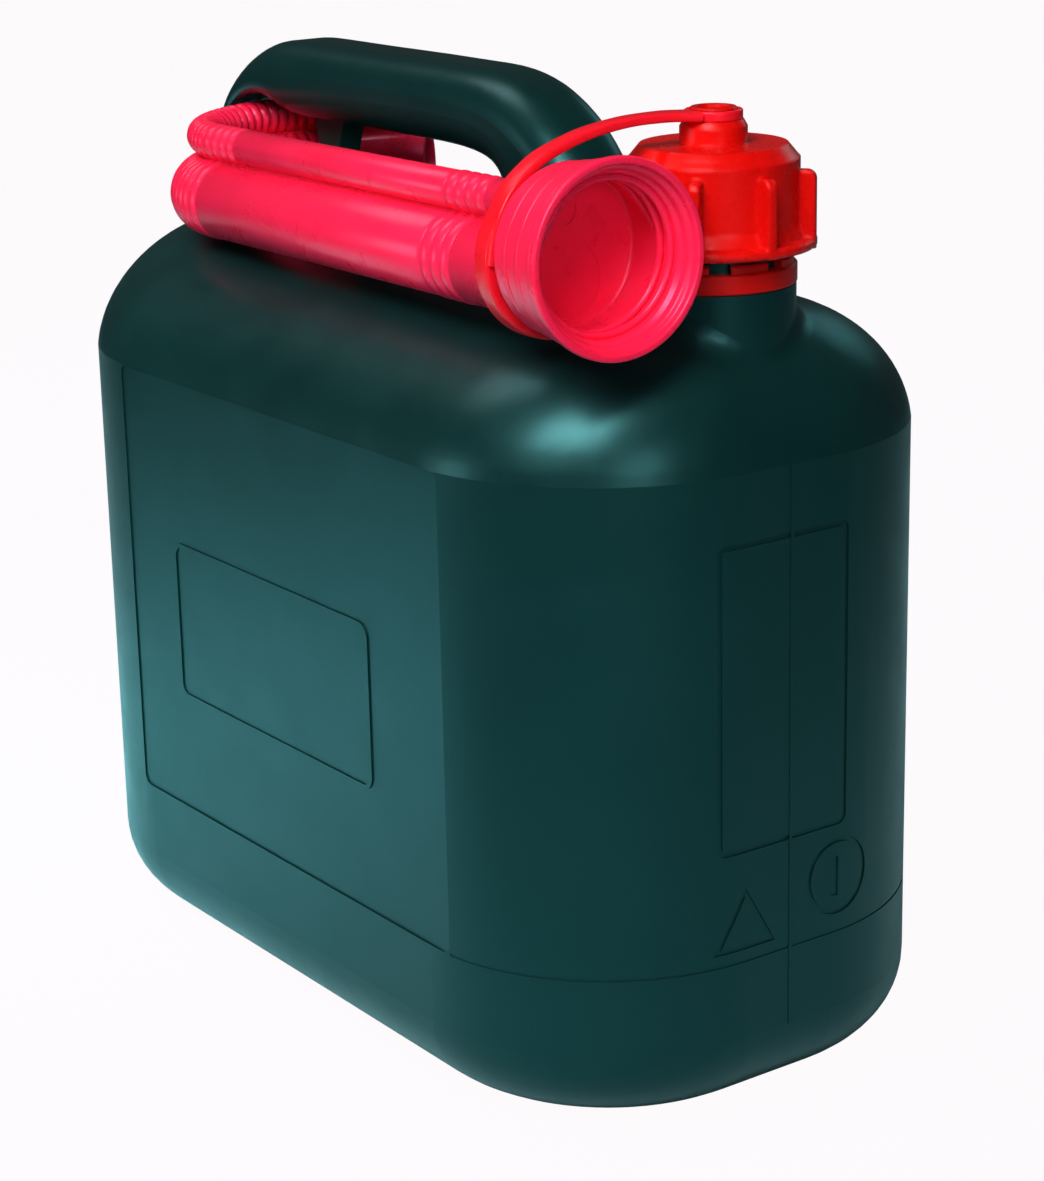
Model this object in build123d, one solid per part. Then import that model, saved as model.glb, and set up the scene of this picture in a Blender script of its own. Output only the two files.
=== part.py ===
from build123d import *
import math
import os

os.makedirs("parts", exist_ok=True)

# A five litre fuel can, blow moulded, with a screw cap, a tethered strap and a
# flexible pouring spout stowed along its handle. Lengths are in millimetres.
# X runs along the can towards the neck, the spout's long legs lie on the -Y
# side, Z is up, and the origin is the middle of the base on the ground.

# Body
body_length = 263.0
body_width = 137.0
front_corner_radius = 55.0
rear_corner_radius = 67.5
base_edge_radius = 21.0
body_wall = 1.6
shoulder_start = 163.0
ridge_height = 194.3
ridge_slope_deg = 1.0
shoulder_lean_deg = 7.0
shoulder_steps = 8
front_shoulder_reach = 30.0
rear_shoulder_reach = 18.0
side_shoulder_reach = 58.5
ridge_corner_radius = 9.0

# Recess under the base, with the pinched mould seam along it
base_recess_depth = 2.0
base_recess_margin = 34.0
base_recess_radius = 24.0
base_channel_width = 8.0
seam_height = 0.8
seam_width = 2.4

# Handle, a hollow tube along the middle plane that narrows to a rear strut
handle_front_x = 60.0
handle_reach = 200.0
handle_foot_height = 150.0
handle_rise = 100.0
grip_depth = 20.0
grip_width = 25.0
grip_roundness_share = 0.42
grip_wall = 2.2

# Web that parts the finger gap from the spout's gap
web_x = -60.6
web_waist = 7.8
web_flare = 19.0
web_thickness = 7.0
web_top = 227.0
web_foot = 186.0

# Neck
neck_x = 102.8
neck_bore_radius = 14.4
neck_radius = 16.4
neck_top = 230.4
neck_foot = 180.0
turret_radius = 19.5
turret_top = 202.0
turret_foot = 170.0
turret_fillet = 8.0
turret_edge_shares = (0, 0.35, 0.7)

# Thread of neck, cap and spout cup
thread_pitch = 4.0
thread_turns = 1.75
thread_depth = 1.7
thread_root_width = 2.2
thread_crest_width = 1.1
thread_start = 215.0
thread_clearance = 0.4
thread_sink = 0.3

# Screw cap
cap_radius = 20.3
cap_wall_radius = neck_radius + thread_depth + thread_clearance
cap_skirt_bottom = 210.6
cap_flange_radius = 24.3
cap_flange_height = 2.2
cap_flare_height = 3.4
cap_flare_reach = 1.0
cap_shoulder = 231.9
cap_top = 234.7
cap_top_radius = 17.5
cap_top_wall = 2.2
cap_post_radius = 8.0
cap_post_height = 4.0
cap_post_cone = 1.6
cap_post_seat_radius = 7.1
cap_stud_radius = 5.3
cap_stud_bore = 4.2
cap_stud_height = 2.5
cap_post_floor = 1.2
cap_fin_count = 8
cap_fin_thickness = 2.8
cap_fin_top = 229.0
cap_fin_round = 2.2
cap_fin_edge = 0.7
cap_rim_bevel = 0.5
cap_lip_reach = 0.35
cap_lip_height = 0.5
cap_thread_turns = 2.0
cap_fin_phase_deg = -5.4
cap_fin_root = 1.0

# Sealing disc in the cap
gasket_radius = 16.3
gasket_bevel = 0.2
flat_clearance = 0.05

# Notched ring round the neck
ring_radius = 19.7
ring_clearance = 0.08
ring_base_height = 4.8
ring_top_height = 6.8
ring_bevel = 0.4
ring_notch_phase_deg = 10.0
ring_lip_radius = 18.9
ring_notch_count = 8
ring_notch_width = 5.0
ring_seat_gap = 0.1

# Spout: mouth centre, attitude and the two tubes side by side
spout_mouth = (126.3, -45.6, 216.0)
spout_yaw_deg = 3.13
spout_rise_deg = 1.35
spout_roll_deg = 1.5
cup_depth = 24.5
cup_floor = 2.4
cup_rim_radius = 22.9
cup_rim_width = 2.2
cup_band_radii = (21.7, 20.8, 20.0)
cup_band_width = 5.4
cup_step = 0.8
cup_back_round = 4.0
cup_round_share = 0.3
cup_bore_radius = 18.6
cup_thread_turns = 2.5
cup_thread_end = 14.5
fuel_tube_radius = 10.6
fuel_tube_bore = 9.0
fuel_tube_drop = 7.3
vent_tube_radius = 4.7
vent_tube_bore = 3.4
vent_tube_lift = 8.6
tube_web_width = 2.6
tube_overlap = 0.8
leg_end = 193.0
bend_radius = 35.0
bend_angle_deg = 130.0
tip_length = 21.5

# Ribs of the two tubes
rib_pitch = 3.2
rib_crest_share = 0.3
rib_flank_share = 0.25
rib_height = 0.25
rib_groove = 0.55
rib_lead = 0.6
rib_bend_offset = 1.0
bend_rib_count = 24
lead_rib_pitch = 4.4
fuel_lead_ribs = 1
vent_lead_ribs = 4
front_rib_pitch = 4.5
fuel_front_ribs = 3
fuel_front_rib_place = 57.5
vent_front_ribs = 4
vent_front_rib_place = 49.5

# Strap between cap and spout
eye_clearance = 0.1
eye_radius = 6.9
eye_height = 2.3
eye_seat_gap = 0.05
band_width = 5.4
band_thickness = 1.9
band_reach_in = 1.2
loop_radius = 19.2
loop_wall = 2.6
loop_width = 5.6
loop_place = 28.0
loop_sag = 2.3

# Stations of the band from the eye to the loop's side: shares of the way in
# X and Y, and share of the height of the eye above the middle of the loop.
band_route_shares = (
    (0.00, 0.000, 1.000),
    (0.40, 0.166, 1.014),
    (0.80, 0.396, 0.982),
    (1.00, 0.622, 0.877),
    (1.00, 0.797, 0.723),
    (1.00, 0.926, 0.474),
    (1.00, 1.000, 0.000),
)
band_stations = 12

# Marks on the walls
panel_step = 0.5
panel_rear = -67.9
panel_front = 84.2
panel_bottom = 41.5
panel_corner = 3.0
mark_height = 0.4
mark_line = 1.2
side_frame_x = 4.0
side_frame_z = 96.0
side_frame_length = 96.0
side_frame_height = 44.0
side_frame_corner = 4.0
end_frame_width = 40.0
end_frame_height = 77.0
end_frame_y = -2.0
end_frame_z = 108.0
dial_radius = 10.0
dial_pip_radius = 5.2
dial_y = 15.5
dial_z = 56.0
triangle_width = 18.5
triangle_height = 16.0
triangle_y = -14.0
triangle_foot_z = 44.5
end_line_depth = 0.25
end_line_width = 0.7
parting_rise = 0.2
parting_width = 0.9

# Overrun of cutting solids
overrun = 1.0


def outline(length, width, front_radius, rear_radius):
    """Rounded oblong, with other radii at the neck end than at the rear."""
    shape = Rectangle(length, width)
    shape = fillet(shape.vertices().group_by(Axis.X)[-1], front_radius)
    return fillet(shape.vertices().group_by(Axis.X)[0], rear_radius)


def body_outline(skin):
    return outline(
        body_length - 2 * skin,
        body_width - 2 * skin,
        front_corner_radius - skin,
        rear_corner_radius - skin,
    )


def shoulder_section(turn, skin):
    """Section of the shoulder at one angle of its elliptic rounding."""
    lean = math.radians(shoulder_lean_deg)
    inset = (math.cos(lean) - math.cos(turn)) / math.cos(lean)
    climb = (math.sin(turn) - math.sin(lean)) / (1 - math.sin(lean))
    front = front_shoulder_reach * inset
    rear = rear_shoulder_reach * inset
    side = side_shoulder_reach * inset
    section = outline(
        body_length - front - rear - 2 * skin,
        body_width - 2 * side - 2 * skin,
        front_corner_radius + (ridge_corner_radius - front_corner_radius) * inset - skin,
        rear_corner_radius + (ridge_corner_radius - rear_corner_radius) * inset - skin,
    )
    height = shoulder_start + (ridge_height - skin - shoulder_start) * climb
    slope = math.radians(ridge_slope_deg) * climb
    middle = (rear - front) / 2
    plane = Plane(
        origin=(middle, 0, height + middle * math.tan(slope)),
        x_dir=(math.cos(slope), 0, math.sin(slope)),
        z_dir=(-math.sin(slope), 0, math.cos(slope)),
    )
    return plane * section


def body_solid(skin):
    """The can without handle and neck, drawn in by a skin on every side."""
    wall = extrude(Pos(0, 0, skin) * body_outline(skin), amount=shoulder_start - skin)
    edges = wall.edges().group_by(Axis.Z)[0]
    wall = fillet(edges, base_edge_radius - skin)
    lean = math.radians(shoulder_lean_deg)
    turns = [lean + (math.pi / 2 - lean) * i / shoulder_steps for i in range(shoulder_steps + 1)]
    shoulder = loft([shoulder_section(turn, skin) for turn in turns])
    return wall + shoulder


# Stations of the handle from the front foot over the grip to the rear foot:
# shares of handle_reach and handle_rise, heading in degrees, and shares of
# grip_depth and grip_width.
handle_station_shares = (
    (0.0100, 0.360, 100, 2.30, 1.40),
    (0.0550, 0.545, 105, 1.90, 1.14),
    (0.0840, 0.715, 118, 1.52, 1.04),
    (0.1520, 0.816, 152, 1.20, 1.04),
    (0.2600, 0.845, 178, 1.05, 1.04),
    (0.3550, 0.846, 180, 1.04, 1.04),
    (0.4500, 0.845, 180, 1.04, 1.04),
    (0.5400, 0.844, 181, 1.04, 1.04),
    (0.6250, 0.843, 184, 1.05, 1.04),
    (0.6900, 0.841, 196, 0.95, 1.02),
    (0.7415, 0.831, 215, 0.57, 0.96),
    (0.7940, 0.790, 221, 0.23, 0.88),
    (0.8300, 0.735, 228, 0.14, 0.80),
    (0.8530, 0.672, 235, 0.15, 0.76),
    (0.8760, 0.592, 241, 0.19, 0.76),
    (0.8950, 0.482, 250, 0.31, 0.80),
    (0.9030, 0.375, 256, 0.45, 0.88),
    (0.9040, 0.250, 262, 0.70, 0.96),
    (0.9060, 0.130, 265, 0.90, 1.00),
)
hollow_stations = 9


def handle_section(station, skin):
    along, up, heading, depth, width = station
    turn = math.radians(heading)
    plane = Plane(
        origin=(handle_front_x - along * handle_reach, 0, handle_foot_height + up * handle_rise),
        x_dir=(0, 1, 0),
        z_dir=(math.cos(turn), 0, math.sin(turn)),
    )
    across = width * grip_width - 2 * skin
    deep = depth * grip_depth - 2 * skin
    radius = grip_roundness_share * min(across, deep)
    return plane * RectangleRounded(across, deep, radius)


def handle_solid(skin, stations):
    return loft([handle_section(station, skin) for station in stations])


def divider_web():
    """Thin waisted web on the middle plane under the grip."""
    half_waist = web_waist / 2
    half_flare = web_flare / 2
    middle = (web_top + web_foot) / 2
    right = ThreePointArc((half_flare, web_foot), (half_waist, middle), (half_flare, web_top))
    left = ThreePointArc((-half_flare, web_top), (-half_waist, middle), (-half_flare, web_foot))
    top = Line((half_flare, web_top), (-half_flare, web_top))
    foot = Line((-half_flare, web_foot), (half_flare, web_foot))
    face = make_face(Curve() + [right, top, left, foot])
    web = extrude(Plane.XZ * Pos(web_x, 0, 0) * face, amount=web_thickness / 2, both=True)
    return web


def thread_ridge(radius, start, turns, inward):
    """Helical ridge with a trapezoid section, sunk a little into its wall."""
    path = Helix(thread_pitch, thread_pitch * turns, radius, center=(0, 0, start))
    side = -1 if inward else 1
    root = thread_root_width / 2
    crest = thread_crest_width / 2
    foot = root + (root - crest) * thread_sink / thread_depth
    face = make_face(
        Polyline(
            (-side * thread_sink, -foot),
            (side * thread_depth, -crest),
            (side * thread_depth, crest),
            (-side * thread_sink, foot),
            close=True,
        )
    )
    plane = Plane(origin=path @ 0, x_dir=(1, 0, 0), z_dir=path % 0)
    return sweep(plane * face, path=path, is_frenet=True)


def turned(profile):
    """Solid of revolution about Z from a closed outline in XZ."""
    return revolve(Plane.XZ * make_face(profile), Axis.Z)


def turret():
    """Round foot of the neck, before it is blended into the shoulder."""
    return Pos(neck_x, 0, turret_foot) * extrude(Circle(turret_radius), amount=turret_top - turret_foot)


def on_turret(edge):
    """True for an edge that lies on the turret's wall, below its top."""
    for share in turret_edge_shares:
        at = edge @ share
        if abs(math.hypot(at.X - neck_x, at.Y) - turret_radius) > ring_clearance:
            return False
        if at.Z > turret_top - ring_clearance:
            return False
    return True


def shoulder_with_turret():
    """Body and neck foot, joined by a round fillet all the way round."""
    joined = body_solid(0) + turret()
    return fillet(joined.edges().filter_by(on_turret), turret_fillet)


def neck_outer():
    neck = Pos(neck_x, 0, neck_foot) * extrude(Circle(neck_radius), amount=neck_top - neck_foot)
    ridge = thread_ridge(neck_radius, thread_start, thread_turns, False)
    return neck + Pos(neck_x, 0, 0) * ridge


def neck_bore():
    depth = neck_top - neck_foot + overrun
    return Pos(neck_x, 0, neck_foot) * extrude(Circle(neck_bore_radius), amount=depth)


def base_recess(skin):
    """The hollow under the base, grown by a skin for the wall above it."""
    shape = RectangleRounded(
        body_length - 2 * base_recess_margin + 2 * skin,
        body_width - 2 * base_recess_margin + 2 * skin,
        base_recess_radius + skin,
    )
    return extrude(Pos(0, 0, -overrun) * shape, amount=base_recess_depth + overrun + skin)


def base_channel(skin):
    """Open groove from the recess to the can's end, where the mould pinches."""
    begin = body_length / 2 - base_recess_margin - base_recess_depth
    bar = Box(
        body_length / 2 - begin,
        base_channel_width + 2 * skin,
        base_recess_depth + overrun + skin,
        align=(Align.MIN, Align.CENTER, Align.MIN),
    )
    return Pos(begin, 0, -overrun) * bar


def base_seam():
    length = body_length - 2 * base_recess_margin
    rise = base_recess_depth - seam_height
    bar = Box(length, seam_width, seam_height + body_wall, align=(Align.CENTER, Align.CENTER, Align.MIN))
    return Pos(0, 0, rise) * bar


def side_panels():
    """Shallow steps that bound the flat panel on each long side."""
    length = panel_front - panel_rear
    height = shoulder_start - panel_bottom
    panel = Box(length, 2 * panel_step, height)
    panel = fillet(panel.edges().filter_by(Axis.Y), panel_corner)
    middle = ((panel_front + panel_rear) / 2, (shoulder_start + panel_bottom) / 2)
    return [
        Pos(middle[0], side * body_width / 2, middle[1]) * panel for side in (-1, 1)
    ]


def frame_line(length, height, corner):
    """A plain oblong line with rounded corners."""
    outer = RectangleRounded(length, height, corner)
    inner = RectangleRounded(length - 2 * mark_line, height - 2 * mark_line, corner - mark_line)
    return outer - inner


def side_mark():
    """Plain raised frame on the recessed panel, no prouder than the wall."""
    line = frame_line(side_frame_length, side_frame_height, side_frame_corner)
    place = Pos(side_frame_x, -body_width / 2 + panel_step, side_frame_z)
    return place * extrude(Plane.XZ * line, amount=mark_height, both=True)


def wall_skin(outside, inside):
    """Layer of the upright wall, from a rise outside to a depth inside."""
    layer = body_outline(-outside) - body_outline(inside)
    return extrude(Pos(0, 0, base_edge_radius) * layer, amount=shoulder_start - base_edge_radius)


def end_shapes():
    """Plain lines of the end face, drawn in YZ: frame, dial and triangle."""
    frame = frame_line(end_frame_width, end_frame_height, 2 * mark_line)
    dial = Circle(dial_radius) - Circle(dial_radius - mark_line)
    pip = Circle(dial_pip_radius) & Rectangle(
        2 * dial_pip_radius, 2 * dial_pip_radius, align=(Align.MAX, Align.CENTER)
    )
    slant = math.hypot(triangle_width / 2, triangle_height)
    inradius = triangle_width * triangle_height / (triangle_width + 2 * slant)
    shrink = (inradius - mark_line) / inradius
    triangle = Polygon(
        (-triangle_width / 2, -inradius),
        (triangle_width / 2, -inradius),
        (0, triangle_height - inradius),
        align=None,
    )
    triangle = triangle - scale(triangle, shrink)
    return [
        Pos(end_frame_y, end_frame_z) * frame,
        Pos(dial_y, dial_z) * (dial + pip),
        Pos(triangle_y, triangle_foot_z + inradius) * triangle,
    ]


def end_marks():
    """Sunk lines that follow the rounded end at one depth."""
    skin = wall_skin(0, mark_height)
    return [extrude(Plane.YZ * shape, amount=body_length) & skin for shape in end_shapes()]


def end_line():
    """Fine groove round the can's front end, in line with the panels' foot."""
    band = Box(body_length, body_width, end_line_width, align=(Align.MIN, Align.CENTER, Align.CENTER))
    return Pos(panel_front, 0, panel_bottom) * band & wall_skin(0, end_line_depth)


def parting_line():
    """Fine upright ridge where the two halves of the mould met."""
    slab = Box(2 * body_length, parting_width, 2 * body_length)
    return slab & wall_skin(parting_rise, mark_height)


def can_body():
    shell = shoulder_with_turret() + neck_outer()
    shell = shell + handle_solid(0, handle_station_shares) + divider_web()
    for panel in side_panels():
        shell = shell - panel
    shell = shell + side_mark() - end_line() + parting_line()
    for mark in end_marks():
        shell = shell - mark
    shell = shell - base_recess(0) - base_channel(0)
    cavity = body_solid(body_wall) - base_recess(body_wall) - base_channel(body_wall)
    cavity = cavity + neck_bore() + handle_solid(grip_wall, handle_station_shares[:hollow_stations])
    return shell - cavity + base_seam()


def cap_outline():
    """Outside of the cap from the flange up to the top disc."""
    flange_top = cap_skirt_bottom + cap_flange_height
    flare_top = flange_top + cap_flare_height
    flare_foot = cap_radius + cap_flare_reach
    return Polyline(
        (0, cap_skirt_bottom),
        (cap_flange_radius - cap_rim_bevel, cap_skirt_bottom),
        (cap_flange_radius, cap_skirt_bottom + cap_rim_bevel),
        (cap_flange_radius, flange_top - cap_rim_bevel),
        (cap_flange_radius - cap_rim_bevel, flange_top),
        (flare_foot, flange_top + cap_rim_bevel),
        (cap_radius, flare_top),
        (cap_radius, cap_shoulder - cap_rim_bevel),
        (cap_radius - cap_rim_bevel, cap_shoulder),
        (cap_top_radius, cap_top),
        (0, cap_top),
        close=True,
    )


def cap_fin():
    """One upright fin, its top rounded off outwards."""
    reach = cap_flange_radius - cap_radius + cap_fin_root
    height = cap_fin_top - cap_skirt_bottom
    fin = Box(reach, cap_fin_thickness, height, align=(Align.MAX, Align.CENTER, Align.MIN))
    fin = fillet(fin.edges().filter_by(Axis.Y).sort_by(Axis.Z)[-2:].sort_by(Axis.X)[-1], cap_fin_round)
    fin = fillet(fin.edges().filter_by(Axis.Z).sort_by(Axis.X)[-2:], cap_fin_edge)
    return Pos(cap_flange_radius, 0, cap_skirt_bottom) * fin


def cap_post():
    """Round post with a seat and a hollow stud for the strap's eye."""
    seat = cap_top + cap_post_height + cap_post_cone
    lip = seat + eye_seat_gap + eye_height + eye_seat_gap
    profile = Polyline(
        (0, cap_top - cap_top_wall),
        (cap_post_radius, cap_top - cap_top_wall),
        (cap_post_radius, cap_top + cap_post_height),
        (cap_post_seat_radius, seat),
        (cap_stud_radius, seat),
        (cap_stud_radius, lip),
        (cap_stud_radius + cap_lip_reach, lip),
        (cap_stud_radius, lip + cap_lip_height),
        (cap_stud_bore, lip + cap_lip_height),
        (cap_stud_bore, cap_top + cap_post_floor),
        (0, cap_top + cap_post_floor),
        close=True,
    )
    return turned(profile)


def screw_cap():
    ceiling = cap_top - cap_top_wall
    cap = turned(cap_outline())
    for i in range(cap_fin_count):
        cap = cap + Rot(0, 0, cap_fin_phase_deg + 360 / cap_fin_count * i) * cap_fin()
    cap = cap + cap_post()
    depth = ceiling - cap_skirt_bottom
    room = Cylinder(cap_wall_radius, depth, align=(Align.CENTER, Align.CENTER, Align.MIN))
    cap = cap - Pos(0, 0, cap_skirt_bottom) * room
    ridge = thread_ridge(cap_wall_radius, thread_start - thread_pitch / 2, cap_thread_turns, True)
    return Pos(neck_x, 0, 0) * (cap + ridge)


def cap_gasket():
    thickness = cap_top - cap_top_wall - neck_top - 2 * flat_clearance
    disc = Cylinder(gasket_radius, thickness, align=(Align.CENTER, Align.CENTER, Align.MIN))
    disc = chamfer(disc.edges(), gasket_bevel)
    return Pos(neck_x, 0, neck_top + flat_clearance) * disc


def neck_ring():
    """Flat ring with raised sectors between eight notches."""
    bore = neck_radius + ring_clearance
    lower = Cylinder(ring_radius, ring_base_height, align=(Align.CENTER, Align.CENTER, Align.MIN))
    lower = chamfer(lower.edges(), ring_bevel)
    upper = Cylinder(ring_lip_radius, ring_top_height, align=(Align.CENTER, Align.CENTER, Align.MIN))
    upper = chamfer(upper.edges().group_by(Axis.Z)[-1], ring_bevel)
    for i in range(ring_notch_count // 2):
        notch = Box(
            2 * ring_radius, ring_notch_width, ring_top_height, align=(Align.CENTER, Align.CENTER, Align.MIN)
        )
        turn = Rot(0, 0, ring_notch_phase_deg + 360 / ring_notch_count * i)
        upper = upper - turn * Pos(0, 0, ring_base_height) * notch
    hole = Cylinder(bore, 3 * ring_top_height)
    return Pos(neck_x, 0, turret_top + ring_seat_gap) * (lower + upper - hole)


def spout_place():
    """Frame of the spout: origin in its mouth, X out of the mouth."""
    turn = Rot(0, 0, -spout_yaw_deg) * Rot(0, -spout_rise_deg, 0) * Rot(spout_roll_deg, 0, 0)
    return Pos(*spout_mouth) * turn


def cup_profile(radii, starts):
    """Stepped outside of the cup from its rim back to its rounded floor."""
    points = [(0, 0), (cup_rim_radius, 0), (cup_rim_radius, -cup_rim_width)]
    for radius, begin in zip(radii, starts):
        points.append((radius, -begin))
        points.append((radius, -begin - cup_band_width))
    back = radii[-1]
    points.append((back, -cup_depth + cup_back_round))
    cut = cup_back_round * cup_round_share
    points.append((back - cut, -cup_depth + cut))
    points.append((back - cup_back_round, -cup_depth))
    points.append((0, -cup_depth))
    return Polyline(*points, close=True)


def cup_shell():
    pitch = cup_band_width + cup_step
    starts = [cup_rim_width + cup_step + pitch * i for i in range(len(cup_band_radii))]
    cup = turned(cup_profile(cup_band_radii, starts))
    room = Cylinder(cup_bore_radius, cup_depth - cup_floor, align=(Align.CENTER, Align.CENTER, Align.MAX))
    ridge = Pos(0, 0, -cup_thread_end) * thread_ridge(cup_bore_radius, 0, cup_thread_turns, True)
    return Rot(0, 90, 0) * (cup - room + ridge)


def tube_station(distance, height):
    """Plane across the tubes at a distance back from the mouth."""
    bend_length = bend_radius * math.radians(bend_angle_deg)
    if distance <= leg_end:
        return Plane(origin=(-distance, 0, height), x_dir=(0, 0, 1), z_dir=(-1, 0, 0))
    turn = min(distance - leg_end, bend_length) / bend_radius
    beyond = max(0, distance - leg_end - bend_length)
    ahead = (-math.cos(turn), math.sin(turn))
    x = -leg_end - bend_radius * math.sin(turn) + beyond * ahead[0]
    y = bend_radius * (1 - math.cos(turn)) + beyond * ahead[1]
    return Plane(origin=(x, y, height), x_dir=(0, 0, 1), z_dir=(ahead[0], ahead[1], 0))


def rib_run(begin, count, pitch, crest, groove):
    """Distances and radii of a run of ribs, each by four circles."""
    stations = []
    for i in range(count):
        foot = begin + pitch * i
        top = foot + pitch * rib_flank_share
        top_end = top + pitch * rib_crest_share
        stations += [
            (foot, groove),
            (top, crest),
            (top_end, crest),
            (top_end + pitch * rib_flank_share, groove),
        ]
    return stations


def tube_outside(radius, height, front_ribs, front_begin, lead_ribs):
    """One tube from the cup's floor to its tip, plain and ribbed stretches."""
    crest = radius + rib_height
    groove = radius - rib_groove
    tip_end = leg_end + bend_radius * math.radians(bend_angle_deg) + tip_length
    bend_begin = leg_end + rib_bend_offset
    lead_begin = bend_begin - lead_ribs * lead_rib_pitch
    stations = [(cup_depth - tube_overlap, radius), (front_begin - rib_lead, radius)]
    stations += rib_run(front_begin, front_ribs, front_rib_pitch, crest, groove)
    stations.append((front_begin + front_rib_pitch * front_ribs + rib_lead, radius))
    stations.append((lead_begin - rib_lead, radius))
    stations += rib_run(lead_begin, lead_ribs, lead_rib_pitch, crest, groove)
    stations += rib_run(bend_begin, bend_rib_count, rib_pitch, crest, groove)
    stations.append((bend_begin + rib_pitch * bend_rib_count + rib_lead, radius))
    stations.append((tip_end, radius))
    return loft([tube_station(at, height) * Circle(size) for at, size in stations], ruled=True)


def tube_bore(radius, height):
    """Smooth bore of a tube: two straight stretches and the bend."""
    bend_length = bend_radius * math.radians(bend_angle_deg)
    begin = tube_station(cup_depth - cup_floor - overrun, height)
    front = extrude(begin * Circle(radius), amount=leg_end - cup_depth + cup_floor + overrun)
    bend_path = Curve() + [
        Line(begin.origin, tube_station(leg_end, height).origin),
        ThreePointArc(*[tube_station(leg_end + bend_length * share, height).origin for share in (0, 0.5, 1)]),
        Line(
            tube_station(leg_end + bend_length, height).origin,
            tube_station(leg_end + bend_length + tip_length + overrun, height).origin,
        ),
    ]
    return sweep(begin * Circle(radius), path=Wire(bend_path.edges()))


def tube_web():
    """Thin strip that joins the two tubes along the near straight stretch."""
    height = vent_tube_lift + fuel_tube_drop - fuel_tube_radius - vent_tube_radius + 2 * tube_overlap
    middle = (vent_tube_lift - vent_tube_radius - fuel_tube_drop + fuel_tube_radius) / 2
    length = leg_end - cup_depth + tube_overlap - rib_lead
    strip = Box(length, tube_web_width, height, align=(Align.MAX, Align.CENTER, Align.CENTER))
    return Pos(-cup_depth + tube_overlap, 0, middle) * strip


def spout():
    fuel = tube_outside(
        fuel_tube_radius, -fuel_tube_drop, fuel_front_ribs, fuel_front_rib_place, fuel_lead_ribs
    )
    vent = tube_outside(
        vent_tube_radius, vent_tube_lift, vent_front_ribs, vent_front_rib_place, vent_lead_ribs
    )
    whole = cup_shell() + fuel + vent + tube_web()
    whole = whole - tube_bore(fuel_tube_bore, -fuel_tube_drop) - tube_bore(vent_tube_bore, vent_tube_lift)
    return spout_place() * whole


def loop_place_frame():
    return spout_place() * Pos(-loop_place, 0, -loop_sag)


def strap_loop():
    """Hoop round both tubes behind the cup."""
    ring = Circle(loop_radius) - Circle(loop_radius - loop_wall)
    return loop_place_frame() * Rot(0, 90, 0) * extrude(ring, amount=loop_width / 2, both=True)


def eye_base():
    return cap_top + cap_post_height + cap_post_cone + eye_seat_gap


def strap_eye():
    ring = Circle(eye_radius) - Circle(cap_stud_radius + eye_clearance)
    return Pos(neck_x, 0, eye_base()) * extrude(ring, amount=eye_height)


def strap_band():
    """Flat band that arches from the eye down to the side of the loop."""
    begin = Vector(neck_x, -eye_radius + band_reach_in, eye_base() + eye_height / 2)
    middle = loop_place_frame().position
    end = middle - Vector(0, loop_radius - loop_wall / 2, 0)
    span = end - begin
    points = [
        (begin.X + along * span.X, begin.Y + across * span.Y, end.Z - up * span.Z)
        for along, across, up in band_route_shares
    ]
    path = Spline(*points, tangents=[(0, -1, 0), (0, 0, -1)])
    sections = []
    for i in range(band_stations + 1):
        share = i / band_stations
        plane = Plane(origin=path @ share, x_dir=(1, 0, 0), z_dir=path % share)
        sections.append(plane * Rectangle(band_width, band_thickness))
    return loft(sections)


def cap_strap():
    return strap_eye() + strap_band() + strap_loop()


def save(shape, name):
    solids = shape.solids()
    print(name, len(solids), [round(s.volume) for s in solids], all(s.is_valid for s in solids))
    export_step(shape, f"parts/{name}.step")


save(can_body(), "can_body")
save(screw_cap(), "screw_cap")
save(cap_gasket(), "cap_gasket")
save(neck_ring(), "neck_ring")
save(cap_strap(), "cap_strap")
save(spout(), "spout")
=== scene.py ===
# %% [markdown]
# # A moulded fuel can with its pouring spout
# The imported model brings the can, cap, ring and seal at their true size and
# place. This scene adds what moulded plastic needs to look real: rounder
# meshes for the soft spout and the strap, and materials with the fine grain,
# sheen and uneven colour of polyethylene. The scene is in metres. The sizes of
# the new pieces are written in millimetres and multiplied by MM.

import math

import bpy
from mathutils import Matrix, Vector


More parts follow.
